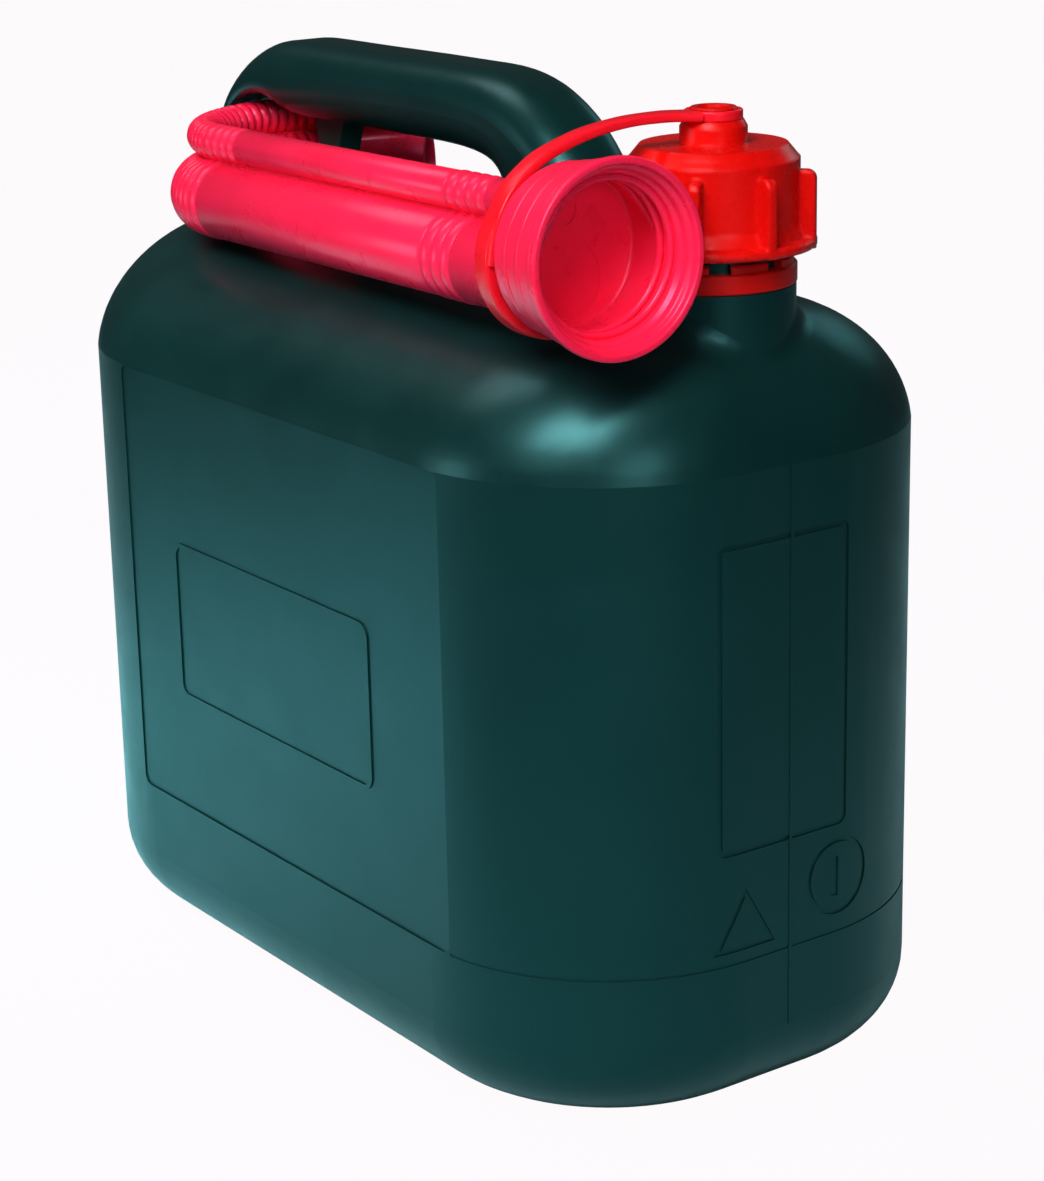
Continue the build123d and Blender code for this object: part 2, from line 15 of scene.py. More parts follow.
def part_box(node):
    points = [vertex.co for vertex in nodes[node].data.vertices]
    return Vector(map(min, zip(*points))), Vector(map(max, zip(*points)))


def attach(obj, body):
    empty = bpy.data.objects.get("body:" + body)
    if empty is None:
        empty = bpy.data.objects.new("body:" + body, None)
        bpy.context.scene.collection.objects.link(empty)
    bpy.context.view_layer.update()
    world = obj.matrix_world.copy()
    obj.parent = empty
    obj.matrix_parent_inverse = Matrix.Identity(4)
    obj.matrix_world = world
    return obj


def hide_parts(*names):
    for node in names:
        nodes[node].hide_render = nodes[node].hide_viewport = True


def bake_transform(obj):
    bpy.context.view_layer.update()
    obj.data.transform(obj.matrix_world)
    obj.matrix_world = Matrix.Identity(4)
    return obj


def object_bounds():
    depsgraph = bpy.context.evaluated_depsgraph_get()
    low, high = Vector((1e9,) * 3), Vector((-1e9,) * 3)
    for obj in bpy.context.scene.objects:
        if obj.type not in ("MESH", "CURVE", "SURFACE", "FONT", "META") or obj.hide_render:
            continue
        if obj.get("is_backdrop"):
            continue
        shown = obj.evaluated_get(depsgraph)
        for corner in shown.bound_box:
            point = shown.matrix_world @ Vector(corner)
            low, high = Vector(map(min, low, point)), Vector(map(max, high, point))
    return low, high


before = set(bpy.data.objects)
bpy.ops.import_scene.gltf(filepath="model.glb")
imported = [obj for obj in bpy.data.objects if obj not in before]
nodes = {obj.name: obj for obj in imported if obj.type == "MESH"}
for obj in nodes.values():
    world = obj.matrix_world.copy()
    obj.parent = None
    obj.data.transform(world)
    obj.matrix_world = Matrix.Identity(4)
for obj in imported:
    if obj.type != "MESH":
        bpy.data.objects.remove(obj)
cad_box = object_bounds()
MM = 0.001
print("nodes:", sorted(nodes))

# %% [markdown]
# ## Camera
# The camera was fitted to the photograph by its vertical and horizontal
# vanishing lines. It stands close to the can, which gives the strong
# convergence of a product shot, and looks down by about seventeen degrees.
# A small lens shift keeps the framing, so the perspective is not disturbed.

# %% Place the camera
FOCAL_PX = 2936.4
FRAME_PX = (1044, 1181)
AXIS_PX = (539.5, 559.4)
SENSOR_WIDTH = 36.0
CAMERA_AT = Vector((0.6322, -0.4340, 0.3370))
AZIMUTH, ELEVATION, ROLL = 54.21, 16.53, -1.13


def camera_axes(azimuth, elevation, roll):
    az, el, ro = (math.radians(v) for v in (azimuth, elevation, roll))
    back = Vector((math.sin(az) * math.cos(el), -math.cos(az) * math.cos(el), math.sin(el)))
    right = Vector((math.cos(az), math.sin(az), 0))
    up = back.cross(right)
    turned = right * math.cos(ro) + up * math.sin(ro)
    return turned, back.cross(turned), back


right, up, back = camera_axes(AZIMUTH, ELEVATION, ROLL)
camera_data = bpy.data.cameras.new("camera")
camera = bpy.data.objects.new("camera", camera_data)
bpy.context.scene.collection.objects.link(camera)
camera.matrix_world = Matrix.Translation(CAMERA_AT) @ Matrix((right, up, back)).transposed().to_4x4()
camera_data.sensor_width = SENSOR_WIDTH
camera_data.lens = SENSOR_WIDTH * FOCAL_PX / max(FRAME_PX)
camera_data.shift_x = (FRAME_PX[0] / 2 - AXIS_PX[0]) / max(FRAME_PX)
camera_data.shift_y = (AXIS_PX[1] - FRAME_PX[1] / 2) / max(FRAME_PX)
camera_data.clip_start = 0.01
bpy.context.scene.camera = camera
print("right", [round(v, 3) for v in right], "up", [round(v, 3) for v in up])

# %% [markdown]
# ## Moulded plastic
# Polyethylene straight from the mould is never one flat colour. The pigment
# clouds a little, the skin has a fine grain from the sand-blasted mould, the
# gloss wanders where the melt cooled at different speeds, and a thin wall is
# never quite even. Each effect is one noise texture in object coordinates, so
# it sits still on the piece. A bitmap could hold the same, but noise stays
# sharp at any distance.

# %% Node helpers
def node(tree, kind, x, y, **inputs):
    n = tree.nodes.new(kind)
    n.location = (x, y)
    for key, value in inputs.items():
        n.inputs[key.replace("_", " ")].default_value = value
    return n


def ramp(tree, x, y, stops):
    r = node(tree, "ShaderNodeValToRGB", x, y)
    r.color_ramp.elements[0].position, r.color_ramp.elements[0].color = stops[0]
    r.color_ramp.elements[1].position, r.color_ramp.elements[1].color = stops[-1]
    return r


def new_material(name):
    m = bpy.data.materials.new(name)
    m.use_nodes = True
    return m, m.node_tree, m.node_tree.nodes["Principled BSDF"]


print("helpers ready")

# %% [markdown]
# ## One recipe for every moulding
# The same four noises serve all the pieces, because they all come from one
# kind of machine. What changes from piece to piece is the pigment, the grain
# of the mould and the tint of the gloss. The ring's red is painted darker than
# the cap's, as painted shade for the shadow that the cap casts on it. Cap and
# ring also get a Bevel node, which shades their edges as small rounds. A Bevel
# modifier would make real ones, but the imported meshes are kept as they are.

# %% Plastic material
PLASTIC_IOR = 1.5
GRAIN_DEPTH, SWAY_DEPTH = 0.0001, 0.0006
GLOSS_SCALE, SWAY_SCALE = 4, 1.6
NOISE_LOW, NOISE_HIGH = 0.3, 0.7
SMOOTHEST, ROUGHEST = 0.86, 1.16
BEVEL_SAMPLES = 4


def plastic(
    name, dark, light, rough, grain, grain_scale, cloud_scale,
    tint=None, sway=0.2, shine=0.5, edge_mm=0.0,
):
    """Plastic with clouded colour, wandering gloss, fine grain and softly shaded edges."""
    m, t, shader = new_material(name)
    place = node(t, "ShaderNodeTexCoord", -1100, 0)
    cloud = node(t, "ShaderNodeTexNoise", -880, 240, Scale=cloud_scale, Detail=4, Roughness=0.55)
    gloss = node(t, "ShaderNodeTexNoise", -880, 0, Scale=cloud_scale * GLOSS_SCALE, Detail=6, Roughness=0.6)
    fine = node(t, "ShaderNodeTexNoise", -880, -240, Scale=grain_scale, Detail=3, Roughness=0.6)
    wave = node(
        t, "ShaderNodeTexNoise", -880, -480, Scale=cloud_scale * SWAY_SCALE, Detail=1, Roughness=0.4
    )
    for n in (cloud, gloss, fine, wave):
        t.links.new(place.outputs["Object"], n.inputs["Vector"])
    tone = ramp(t, -640, 240, [(NOISE_LOW, (*dark, 1)), (NOISE_HIGH, (*light, 1))])
    t.links.new(cloud.outputs["Fac"], tone.inputs["Fac"])
    t.links.new(tone.outputs["Color"], shader.inputs["Base Color"])
    spread = node(t, "ShaderNodeMapRange", -640, 0)
    spread.inputs["From Min"].default_value = NOISE_LOW
    spread.inputs["From Max"].default_value = NOISE_HIGH
    spread.inputs["To Min"].default_value = rough * SMOOTHEST
    spread.inputs["To Max"].default_value = rough * ROUGHEST
    t.links.new(gloss.outputs["Fac"], spread.inputs["Value"])
    t.links.new(spread.outputs["Result"], shader.inputs["Roughness"])
    skin = node(t, "ShaderNodeBump", -400, -240, Strength=grain, Distance=GRAIN_DEPTH)
    swell = node(t, "ShaderNodeBump", -200, -300, Strength=sway, Distance=SWAY_DEPTH)
    t.links.new(fine.outputs["Fac"], skin.inputs["Height"])
    t.links.new(wave.outputs["Fac"], swell.inputs["Height"])
    t.links.new(skin.outputs["Normal"], swell.inputs["Normal"])
    t.links.new(swell.outputs["Normal"], shader.inputs["Normal"])
    if edge_mm:
        soft = node(t, "ShaderNodeBevel", -640, -420, Radius=edge_mm * MM)
        soft.samples = BEVEL_SAMPLES
        t.links.new(soft.outputs["Normal"], skin.inputs["Normal"])
    shader.inputs["IOR"].default_value = PLASTIC_IOR
    shader.inputs["Specular IOR Level"].default_value = shine
    if tint:
        shader.inputs["Specular Tint"].default_value = (*tint, 1)
    return m


body_mat = plastic(
    "body_plastic", (0.0018, 0.0150, 0.0145), (0.0027, 0.0205, 0.0200), rough=0.33, grain=0.20,
    grain_scale=2200, cloud_scale=14, tint=(0.28, 0.90, 0.94), sway=0.10,
)
cap_mat = plastic(
    "cap_plastic", (0.62, 0.0025, 0.0015), (0.72, 0.0040, 0.0025), rough=0.27, grain=0.05,
    grain_scale=1000, cloud_scale=40, tint=(1.0, 0.35, 0.40), shine=0.45, edge_mm=1.4,
)
# Painted shade: the ring's base red is darker than the cap's, standing in for the shadow of the cap above
# it.
ring_shaded_mat = plastic(
    "ring_plastic_painted_shade", (0.50, 0.0025, 0.0015), (0.60, 0.0040, 0.0025), rough=0.34, grain=0.05,
    grain_scale=1000, cloud_scale=40, tint=(1.0, 0.40, 0.45), shine=0.45, edge_mm=0.6,
)
strap_mat = plastic(
    "strap_plastic", (0.80, 0.0060, 0.0150), (0.90, 0.0090, 0.0240), rough=0.30, grain=0.05,
    grain_scale=1000, cloud_scale=40, tint=(1.0, 0.45, 0.60), sway=0.10, shine=0.45,
)
spout_mat = plastic(
    "spout_plastic", (0.94, 0.0110, 0.054), (1.00, 0.0170, 0.078), rough=0.29, grain=0.04,
    grain_scale=1000, cloud_scale=30, tint=(1.0, 0.45, 0.80), sway=0.10,
)
seal_mat = plastic(
    "seal_rubber", (0.012, 0.012, 0.012), (0.022, 0.022, 0.022), rough=0.6, grain=0.2,
    grain_scale=1800, cloud_scale=60,
)
print("materials:", [m.name for m in bpy.data.materials])

# %% [markdown]
# ## Dressing the frame
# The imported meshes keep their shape, and each one only takes its plastic. The
# spout and the strap take theirs too, although rounder pieces stand in for
# them further down.

# %% Dress the frame
FINISH = {
    "can_body": body_mat,
    "screw_cap": cap_mat,
    "neck_ring": ring_shaded_mat,
    "cap_gasket": seal_mat,
    "cap_strap": strap_mat,
    "spout": spout_mat,
}
for name, material in FINISH.items():
    piece = nodes[name]
    piece.data.materials.clear()
    piece.data.materials.append(material)
    print(name, len(piece.data.polygons), "faces")

# %% [markdown]
# ## The spout: a tool for turned walls
# Cup, tubes, web, eye and hoop are round in section, so each is drawn as a ring
# of edges that is pushed along X and made wider or narrower step by step. A
# lathe would turn the same shapes from a profile, but pushing a ring also
# gives the even loops that the bend needs later.

# %% Push a ring along
DOUBLES = 1e-6
CORNER_REACH = 0.45
CORNER_STEPS = (0, 0.25, 0.5, 0.75, 1)


def start_clean():
    if bpy.context.object and bpy.context.object.mode != "OBJECT":
        bpy.ops.object.mode_set(mode="OBJECT")
    bpy.ops.object.select_all(action="DESELECT")


def pushed_ring(name, steps, sides):
    """Wall along X through rings at (distance, radius), in metres."""
    start_clean()
    distance, radius = steps[0]
    bpy.ops.mesh.primitive_circle_add(
        vertices=sides, radius=radius, location=(distance, 0, 0), rotation=(0, math.pi / 2, 0)
    )
    piece = bpy.context.object
    piece.name = name
    bpy.ops.object.transform_apply(location=True, rotation=True, scale=True)
    bpy.ops.object.mode_set(mode="EDIT")
    bpy.ops.mesh.select_all(action="SELECT")
    for next_distance, next_radius in steps[1:]:
        bpy.ops.mesh.extrude_region_move(
            TRANSFORM_OT_translate={"value": (next_distance - distance, 0, 0)}
        )
        grow = next_radius / radius
        bpy.ops.transform.resize(value=(1, grow, grow), center_override=(next_distance, 0, 0))
        distance, radius = next_distance, next_radius
    bpy.ops.mesh.select_all(action="SELECT")
    bpy.ops.mesh.remove_doubles(threshold=DOUBLES)
    bpy.ops.mesh.fill_holes(sides=0)
    bpy.ops.mesh.select_all(action="SELECT")
    bpy.ops.mesh.normals_make_consistent(inside=False)
    bpy.ops.object.mode_set(mode="OBJECT")
    return piece


def softened(points, bends):
    """Profile whose corners are rounded: bends gives each corner's radius."""
    out = [points[0]]
    for i in range(1, len(points) - 1):
        before, corner, after = (Vector(points[j]) for j in (i - 1, i, i + 1))
        room = min((before - corner).length * CORNER_REACH, (after - corner).length * CORNER_REACH)
        reach = min(bends[i], room)
        if reach <= 0:
            out.append(points[i])
            continue
        a = corner + (before - corner).normalized() * reach
        b = corner + (after - corner).normalized() * reach
        for share in CORNER_STEPS:
            out.append(tuple(a * (1 - share) ** 2 + corner * 2 * share * (1 - share) + b * share ** 2))
    out.append(points[-1])
    return out


print("ring tools ready")

# %% [markdown]
# ## The cup
# The cup screws on to the neck when the can is poured from. Its outside steps
# down in three beaded bands from the rim with a groove at each step, its mouth
# narrows in two steps to the bore, and every edge has the small round that a
# mould leaves. The rounds are worked into the profile before it is pushed,
# which is cleaner here than a Bevel modifier on a finished cup.

# %% Model the cup
CUP_SIDES = 96
CUP_DEPTH, CUP_FLOOR = 24.5, 2.4
CUP_BORE, CUP_RIM, CUP_RIM_WIDTH = 18.6, 22.9, 2.2
CUP_BANDS = (21.7, 20.8, 20.0)
CUP_BAND_WIDTH, CUP_STEP = 5.4, 0.8
CUP_GROOVE, CUP_BEAD, CUP_BEAD_WIDTH, CUP_LIP = 0.75, 0.3, 1.3, 1.7
CUP_SLANT, CUP_BEAD_SLOPE, CUP_HEEL = 0.15, 0.5, 3.6
CUP_PIN = 0.4
MOUTH_STEPS = ((-4.6, 0.0), (-3.8, 0.9), (-2.2, 1.2))
LIP_STEP_DEPTH, LIP_STEP = 1.6, 0.4
MOUTH_ROUNDS = [0, 1.2, 0.3, 0.3, 0.3, 0.3, 0.5, 0.6, 0.5]
BAND_ROUNDS = [0.2, 0.2, 0.4, 0.4, 0.3, 0.5]
HEEL_ROUNDS = [2.0, 0]

cup_inside = -(CUP_DEPTH - CUP_FLOOR)
profile = [(cup_inside, CUP_PIN), (cup_inside, CUP_BORE)]
profile += [(at, CUP_BORE + wider) for at, wider in MOUTH_STEPS]
profile += [(-LIP_STEP_DEPTH, CUP_RIM - CUP_LIP - LIP_STEP), (0, CUP_RIM - CUP_LIP)]
profile += [(0, CUP_RIM), (-CUP_RIM_WIDTH, CUP_RIM)]
begin = CUP_RIM_WIDTH
for band in CUP_BANDS:
    foot = band - CUP_GROOVE
    lip = begin + CUP_STEP + CUP_SLANT
    bead_end = -lip - CUP_BEAD_WIDTH
    profile += [(-begin - CUP_SLANT, foot), (-begin - CUP_STEP, foot), (-lip, band + CUP_BEAD)]
    profile += [(bead_end, band + CUP_BEAD), (bead_end - CUP_BEAD_SLOPE, band)]
    begin += CUP_BAND_WIDTH + CUP_STEP
    profile += [(-begin, band)]
profile += [(-CUP_DEPTH, CUP_BANDS[-1] - CUP_HEEL), (-CUP_DEPTH, CUP_PIN)]
rounds = MOUTH_ROUNDS + BAND_ROUNDS * len(CUP_BANDS) + HEEL_ROUNDS
cup_steps = [(x * MM, r * MM) for x, r in softened(profile, rounds)]
cup = pushed_ring("cup", cup_steps, CUP_SIDES)
print("cup faces:", len(cup.data.polygons), "rings:", len(cup_steps))

# %% [markdown]
# ## Two holes in the cup's floor
# Petrol leaves through the wide bore and air comes back through the narrow
# one. A Boolean cuts both, as a drill would, before the tubes are set on.

# %% Cut the floor
FUEL_BORE, FUEL_DROP = 9.0, 7.3
VENT_BORE, VENT_LIFT = 3.4, 8.6
DRILL_SIDES = 64
DRILL_LENGTH = 4 * CUP_FLOOR


def drilled(piece, radius, height):
    start_clean()
    bpy.ops.mesh.primitive_cylinder_add(
        vertices=DRILL_SIDES, radius=radius * MM, depth=DRILL_LENGTH * MM,
        location=(-CUP_DEPTH * MM, 0, height * MM), rotation=(0, math.pi / 2, 0),
    )
    drill = bpy.context.object
    start_clean()
    bpy.context.view_layer.objects.active = piece
    piece.select_set(True)
    cut = piece.modifiers.new("hole", "BOOLEAN")
    cut.object = drill
    cut.operation = "DIFFERENCE"
    cut.solver = "EXACT"
    bpy.ops.object.modifier_apply(modifier=cut.name)
    bpy.data.objects.remove(drill)


drilled(cup, FUEL_BORE, -FUEL_DROP)
drilled(cup, VENT_BORE, VENT_LIFT)
print("cup faces after drilling:", len(cup.data.polygons))

# %% [markdown]
# ## Thread inside the cup
# The thread is one small section wound round the axis. The Screw modifier is
# the natural tool: it turns and advances the section at the pitch, and the
# ends are then sunk into the wall so that the thread runs out softly.

# %% Wind the thread
THREAD_PITCH, THREAD_TURNS, THREAD_DEPTH = 4.0, 2.5, 1.7
THREAD_END = 14.5
THREAD_SIDES, THREAD_HALF = 10, 1.0
THREAD_STAND, THREAD_FLAT, THREAD_SINK = 0.4, 0.95, 1.4
RUN_OUT_DEG = 40.0
STEPS_PER_TURN = 64


def wound_thread(name, radius, start, turns):
    """Ridge wound about X inside a wall of this radius, its ends sunk into the wall."""
    start_clean()
    bpy.ops.mesh.primitive_circle_add(vertices=THREAD_SIDES, radius=THREAD_HALF * MM)
    ridge = bpy.context.object
    ridge.name = name
    for v in ridge.data.vertices:
        along, out = v.co.x, v.co.y
        v.co = (start * MM + along, (radius - THREAD_DEPTH * THREAD_STAND) * MM - out * THREAD_FLAT, 0)
    turn = ridge.modifiers.new("wind", "SCREW")
    turn.axis = "X"
    turn.angle = 2 * math.pi * turns
    turn.screw_offset = THREAD_PITCH * turns * MM
    turn.steps = turn.render_steps = int(STEPS_PER_TURN * turns)
    bpy.ops.object.modifier_apply(modifier=turn.name)
    sink = THREAD_DEPTH * THREAD_SINK * MM
    full = 2 * math.pi * turns
    count = len(ridge.data.vertices) // THREAD_SIDES
    for i, v in enumerate(ridge.data.vertices):
        at = i // THREAD_SIDES / (count - 1) * full
        near = min(at, full - at) / math.radians(RUN_OUT_DEG)
        if near < 1:
            out = Vector((0, v.co.y, v.co.z)).normalized()
            v.co += out * sink * (1 - near) ** 2
    bpy.ops.object.mode_set(mode="EDIT")
    bpy.ops.mesh.select_all(action="SELECT")
    bpy.ops.mesh.fill_holes(sides=0)
    bpy.ops.mesh.select_all(action="SELECT")
    bpy.ops.mesh.normals_make_consistent(inside=False)
    bpy.ops.object.mode_set(mode="OBJECT")
    return ridge


cup_thread = wound_thread("cup_thread", CUP_BORE, -THREAD_END, THREAD_TURNS)
print("thread faces:", len(cup_thread.data.polygons))

# %% [markdown]
# ## Ribbed tubes
# Each tube is ribbed where it has to bend, with one more short run of ribs near
# the cup, and smooth between. The ribs are pushed with the wall, eight rings
# to a rib, so that they are real geometry and catch the light. The tube is
# made straight first.

# %% Push the tubes
LEG_END, BEND_RADIUS = 193.0, 35.0
BEND_ANGLE = math.radians(130)
BEND_LENGTH = BEND_RADIUS * BEND_ANGLE
TIP_LENGTH = 21.5
TUBE_TIP = LEG_END + BEND_LENGTH + TIP_LENGTH
TUBE_SINK = 0.3
TUBE_START = CUP_DEPTH - CUP_FLOOR + TUBE_SINK
RIB_RISE, RIB_GROOVE, RIB_ROUND = 0.25, 0.60, 0.8
BEND_RIBS, BEND_PITCH = 24, 3.2
LEAD_PITCH, FRONT_PITCH = 4.4, 4.5
RINGS_PER_RIB, BORE_RINGS = 8, 40
RUN_GAP = 0.8
RIBS_BEGIN = LEG_END + 1.0
TIP_ROUND = ((1.0, 0.0), (0.3, 0.1), (0.0, 0.5))
TIP_CHAMFER, TIP_CHAMFER_DEPTH = 0.3, 0.4
FUEL = {
    "radius": 10.6, "bore": FUEL_BORE, "height": -FUEL_DROP,
    "front": (57.5, 3), "lead": 1, "sides": 64,
}
VENT = {
    "radius": 4.7, "bore": VENT_BORE, "height": VENT_LIFT,
    "front": (49.5, 4), "lead": 4, "sides": 40,
}


def rib_rings(begin, count, pitch, radius):
    """Rings of a run of rounded ribs with narrow grooves between them."""
    rings = []
    for i in range(count * RINGS_PER_RIB + 1):
        swell = math.sin(math.pi * (i / RINGS_PER_RIB % 1)) ** RIB_ROUND
        size = radius - RIB_GROOVE + (RIB_RISE + RIB_GROOVE) * swell
        rings.append((begin + pitch * i / RINGS_PER_RIB, size))
    return rings


def straight_tube(name, spec):
    """Tube along X, from its root in the cup out to the tip and back through its bore."""
    radius, bore, lead = spec["radius"], spec["bore"], spec["lead"]
    front_begin, front_count = spec["front"]
    lead_begin = RIBS_BEGIN - lead * LEAD_PITCH
    rings = [(TUBE_START, radius), (front_begin - RUN_GAP, radius)]
    rings += rib_rings(front_begin, front_count, FRONT_PITCH, radius)
    rings += [(front_begin + front_count * FRONT_PITCH + RUN_GAP, radius), (lead_begin - RUN_GAP, radius)]
    rings += rib_rings(lead_begin, lead, LEAD_PITCH, radius)
    rings += rib_rings(RIBS_BEGIN, BEND_RIBS, BEND_PITCH, radius)[1:]
    rings += [(RIBS_BEGIN + BEND_RIBS * BEND_PITCH + RUN_GAP, radius)]
    rings += [(TUBE_TIP - short, radius - less) for short, less in TIP_ROUND]
    rings += [(TUBE_TIP, bore + TIP_CHAMFER), (TUBE_TIP - TIP_CHAMFER_DEPTH, bore)]
    rings += [(LEG_END + BEND_LENGTH * (1 - i / BORE_RINGS), bore) for i in range(BORE_RINGS + 1)]
    rings += [(TUBE_START, bore), (TUBE_START, radius)]
    return pushed_ring(name, [(d * MM, r * MM) for d, r in rings], spec["sides"])


fuel_tube = straight_tube("fuel_tube", FUEL)
vent_tube = straight_tube("vent_tube", VENT)
print("tube faces:", len(fuel_tube.data.polygons), len(vent_tube.data.polygons))

# %% [markdown]
# ## Bending the tubes
# The real tubes are stowed by hand: straight back along the handle, round
# through its opening, and out on the far side. The same path is drawn as a
# curve, and a Curve modifier lays each straight tube along it. The path has
# one line, one arc and one more line, so its points come from a loop.

# %% Bend them along their path
PATH_STEP_DEG, PATH_SPARE = 2.5, 5


def tube_path(height):
    points = [Vector((0, 0, height)), Vector((-LEG_END, 0, height))]
    count = round(math.degrees(BEND_ANGLE) / PATH_STEP_DEG)
    for i in range(1, count + 1):
        turn = BEND_ANGLE * i / count
        points.append(Vector((
            -LEG_END - BEND_RADIUS * math.sin(turn), BEND_RADIUS * (1 - math.cos(turn)), height
        )))
    ahead = Vector((-math.cos(BEND_ANGLE), math.sin(BEND_ANGLE), 0))
    points.append(points[-1] + ahead * (TIP_LENGTH + PATH_SPARE))
    return points


def laid_along(piece, path):
    """The piece bent along a curve, which is then removed."""
    start_clean()
    bpy.context.view_layer.objects.active = piece
    piece.select_set(True)
    follow = piece.modifiers.new("follow", "CURVE")
    follow.object = path
    follow.deform_axis = "POS_X"
    bpy.ops.object.modifier_apply(modifier=follow.name)
    bpy.data.objects.remove(path)


def bent(piece, height):
    data = bpy.data.curves.new(piece.name + "_path", "CURVE")
    data.dimensions = "3D"
    data.twist_mode = "Z_UP"
    points = tube_path(height)
    spline = data.splines.new("POLY")
    spline.points.add(len(points) - 1)
    for knot, at in zip(spline.points, points):
        knot.co = (*(at * MM), 1)
    path = bpy.data.objects.new(data.name, data)
    bpy.context.scene.collection.objects.link(path)
    laid_along(piece, path)


bent(fuel_tube, FUEL["height"])
bent(vent_tube, VENT["height"])
for tube in (fuel_tube, vent_tube):
    print(tube.name, "bent:", [round(v, 4) for v in tube.dimensions])

# %% [markdown]
# ## Web between the tubes and assembly
# A thin round web fills the slit between the tubes from the cup to their tips,
# so it is pushed and bent as they are. Then all is joined into one moulding
# and laid in its stowed place: yaw, rise and roll were read from the
# photograph.

# %% Join the spout and lay it in place
WEB_RADIUS, WEB_HEIGHT, WEB_SIDES = 1.5, 3.6, 12
WEB_STEPS, WEB_SHORT = 52, 2
SMOOTH_DEG = 40
MOUTH = Vector((126.3, -45.6, 216.0))
YAW, RISE, SPOUT_ROLL = (math.radians(v) for v in (3.13, 1.35, 1.5))
spout_place = (
    Matrix.Translation(MOUTH * MM)
    @ Matrix.Rotation(-YAW, 4, "Z")
    @ Matrix.Rotation(-RISE, 4, "Y")
    @ Matrix.Rotation(SPOUT_ROLL, 4, "X")
)

web_bend = [LEG_END + BEND_LENGTH * i / WEB_STEPS for i in range(WEB_STEPS + 1)]
web_rings = [CUP_DEPTH] + web_bend + [TUBE_TIP - WEB_SHORT]
web = pushed_ring("web", [(d * MM, WEB_RADIUS * MM) for d in web_rings], WEB_SIDES)
bent(web, WEB_HEIGHT)


def joined(name, parts, place):
    """One object from several, moved to its place, its origin at zero."""
    start_clean()
    for part in parts:
        part.select_set(True)
    bpy.context.view_layer.objects.active = parts[0]
    bpy.ops.object.join()
    whole = bpy.context.object
    whole.name = name
    whole.data.name = name
    whole.data.transform(place)
    bpy.ops.object.shade_smooth_by_angle(angle=math.radians(SMOOTH_DEG))
    return whole


spout_piece = joined("pouring_spout", [cup, cup_thread, fuel_tube, vent_tube, web], spout_place)
spout_piece.data.materials.append(spout_mat)
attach(spout_piece, "spout")
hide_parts("spout")
print("spout faces:", len(spout_piece.data.polygons), [round(v, 4) for v in spout_piece.dimensions])

# %% [markdown]
# ## The strap
# The strap keeps the cap from being lost. Its eye turns on the cap's post, a
# flat band arches down, and a hoop holds the two tubes. Eye and hoop are
# pushed rings; the band is a straight bar with rounded edges that a curve
# bends, as the real one bends from flat.

# %% Model eye and hoop
EYE = {"inner": 5.4, "outer": 6.9, "height": 2.3, "edge": 0.5, "sides": 64}
HOOP = {"outer": 19.2, "wall": 2.6, "width": 5.6, "edge": 0.8, "sides": 128, "back": 28.0, "sag": 2.3}
strap_low, strap_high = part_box("cap_strap")
NECK_X = 102.8
EYE_BASE = 240.35


def ring_band(name, inner, outer, width, sides, edge):
    """Closed flat ring about X with softly rounded edges."""
    seam = (0, (inner + outer) / 2)
    shape = [seam, (0, outer), (width, outer), (width, inner), (0, inner), seam]
    steps = softened(shape, [0, edge, edge, edge, edge, 0])
    return pushed_ring(name, [((x - width / 2) * MM, r * MM) for x, r in steps], sides)


eye = ring_band("eye", EYE["inner"], EYE["outer"], EYE["height"], EYE["sides"], EYE["edge"])
eye_middle = Vector((NECK_X, 0, EYE_BASE + EYE["height"] / 2)) * MM
eye.data.transform(Matrix.Translation(eye_middle) @ Matrix.Rotation(-math.pi / 2, 4, "Y"))
hoop_inner = HOOP["outer"] - HOOP["wall"]
hoop = ring_band("hoop", hoop_inner, HOOP["outer"], HOOP["width"], HOOP["sides"], HOOP["edge"])
hoop_place = spout_place @ Matrix.Translation(Vector((-HOOP["back"], 0, -HOOP["sag"])) * MM)
hoop.data.transform(hoop_place)
print("eye and hoop:", len(eye.data.polygons), len(hoop.data.polygons))
print("strap box in the frame:", [round(v, 4) for v in (*strap_low, *strap_high)])

# %% Bend the band between them
BAND = {"width": 5.4, "thick": 2.2, "edge": 0.6, "pushes": 60, "root": 1.2}
FLARE, FLARE_REACH, FLARE_FADE = 0.6, 16.0, 1.5
CURVE_RESOLUTION, EDGE_SEGMENTS = 16, 3
ROUTE_SHARES = (
    (0.00, 0.000, 1.000), (0.40, 0.166, 1.014), (0.80, 0.396, 0.982), (1.00, 0.622, 0.877),
    (1.00, 0.797, 0.723), (1.00, 0.926, 0.474), (1.00, 0.985, 0.180), (1.00, 1.000, 0.000),
)
band_start = Vector((NECK_X, -EYE["outer"] + BAND["root"], EYE_BASE + EYE["height"] / 2))
hoop_middle = hoop_place.translation / MM
band_end = hoop_middle - Vector((0, HOOP["outer"] - HOOP["wall"] / 2, 0))
span = band_end - band_start
route = [
    Vector((band_start.x + a * span.x, band_start.y + b * span.y, band_end.z - c * span.z))
    for a, b, c in ROUTE_SHARES
]


def route_curve(name, points):
    data = bpy.data.curves.new(name, "CURVE")
    data.dimensions = "3D"
    data.twist_mode = "Z_UP"
    data.resolution_u = CURVE_RESOLUTION
    spline = data.splines.new("BEZIER")
    spline.bezier_points.add(len(points) - 1)
    for knot, at in zip(spline.bezier_points, points):
        knot.co = at * MM
        knot.handle_left_type = knot.handle_right_type = "AUTO"
    path = bpy.data.objects.new(name, data)
    bpy.context.scene.collection.objects.link(path)
    return path


